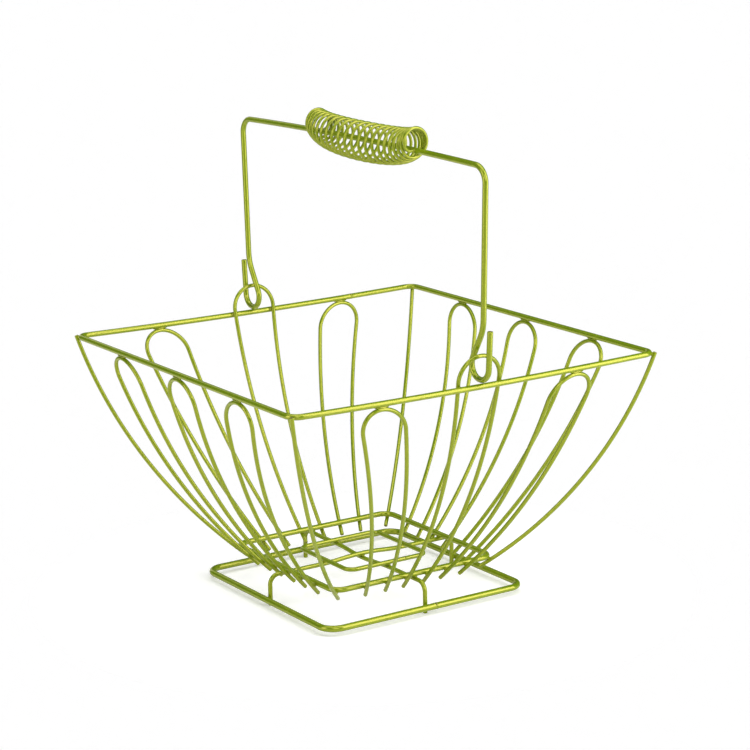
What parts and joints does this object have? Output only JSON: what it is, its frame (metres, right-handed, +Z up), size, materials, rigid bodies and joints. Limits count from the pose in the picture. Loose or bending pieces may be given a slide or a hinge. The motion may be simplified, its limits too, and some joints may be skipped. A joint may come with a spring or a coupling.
{
  "type": "wire produce basket",
  "caption": "Square flared wire basket on a square foot, with hairpin wall loops and a swinging bail handle that hooks into eye loops and carries a coiled wire grip.",
  "frame": {"origin": "on the ground under the middle of the basket, at the height of the four leg ends", "axes": "+Z up; +X towards the right side, where one end of the handle hooks in; +Y towards the back; the handle swings about X"},
  "size_m": [0.2764, 0.2594, 0.297],
  "materials": {
    "top_rim": "metallic lime green lacquer on steel wire",
    "lower_ring": "metallic lime green lacquer on steel wire",
    "inner_ring": "metallic lime green lacquer on steel wire",
    "foot_ring": "metallic lime green lacquer on steel wire",
    "leg_wire_lower": "metallic lime green lacquer on steel wire",
    "leg_wire_upper": "metallic lime green lacquer on steel wire",
    "side_loop_right_near": "metallic lime green lacquer on steel wire",
    "side_loop_right_far": "metallic lime green lacquer on steel wire",
    "side_loop_back_near": "metallic lime green lacquer on steel wire",
    "side_loop_back_middle": "metallic lime green lacquer on steel wire",
    "side_loop_back_far": "metallic lime green lacquer on steel wire",
    "side_loop_left_near": "metallic lime green lacquer on steel wire",
    "side_loop_left_far": "metallic lime green lacquer on steel wire",
    "side_loop_front_near": "metallic lime green lacquer on steel wire",
    "side_loop_front_middle": "metallic lime green lacquer on steel wire",
    "side_loop_front_far": "metallic lime green lacquer on steel wire",
    "eye_loop_right": "metallic lime green lacquer on steel wire",
    "eye_loop_left": "metallic lime green lacquer on steel wire",
    "corner_wire_back_right": "metallic lime green lacquer on steel wire",
    "corner_wire_back_left": "metallic lime green lacquer on steel wire",
    "corner_wire_front_left": "metallic lime green lacquer on steel wire",
    "corner_wire_front_right": "metallic lime green lacquer on steel wire",
    "bail_handle": "metallic lime green lacquer on steel wire",
    "grip_coil": "metallic lime green lacquer on steel wire"
  },
  "bodies": {
    "basket": {"top_rim": "top_rim", "lower_ring": "lower_ring", "inner_ring": "inner_ring", "foot_ring": "foot_ring", "leg_wire_lower": "leg_wire_lower", "leg_wire_upper": "leg_wire_upper", "side_loop_right_near": "side_loop_right_near", "side_loop_right_far": "side_loop_right_far", "side_loop_back_near": "side_loop_back_near", "side_loop_back_middle": "side_loop_back_middle", "side_loop_back_far": "side_loop_back_far", "side_loop_left_near": "side_loop_left_near", "side_loop_left_far": "side_loop_left_far", "side_loop_front_near": "side_loop_front_near", "side_loop_front_middle": "side_loop_front_middle", "side_loop_front_far": "side_loop_front_far", "eye_loop_right": "eye_loop_right", "eye_loop_left": "eye_loop_left", "corner_wire_back_right": "corner_wire_back_right", "corner_wire_back_left": "corner_wire_back_left", "corner_wire_front_left": "corner_wire_front_left", "corner_wire_front_right": "corner_wire_front_right"},
    "handle": {"bail_handle": "bail_handle", "grip_coil": "grip_coil"}
  },
  "joints": [
    {"name": "bail_swing", "type": "hinge", "parent": "basket", "child": "handle", "pos_m": [0, 0, 0.1574], "axis": [1, 0, 0], "range_deg": [-84.5, 84.5]}
  ]
}
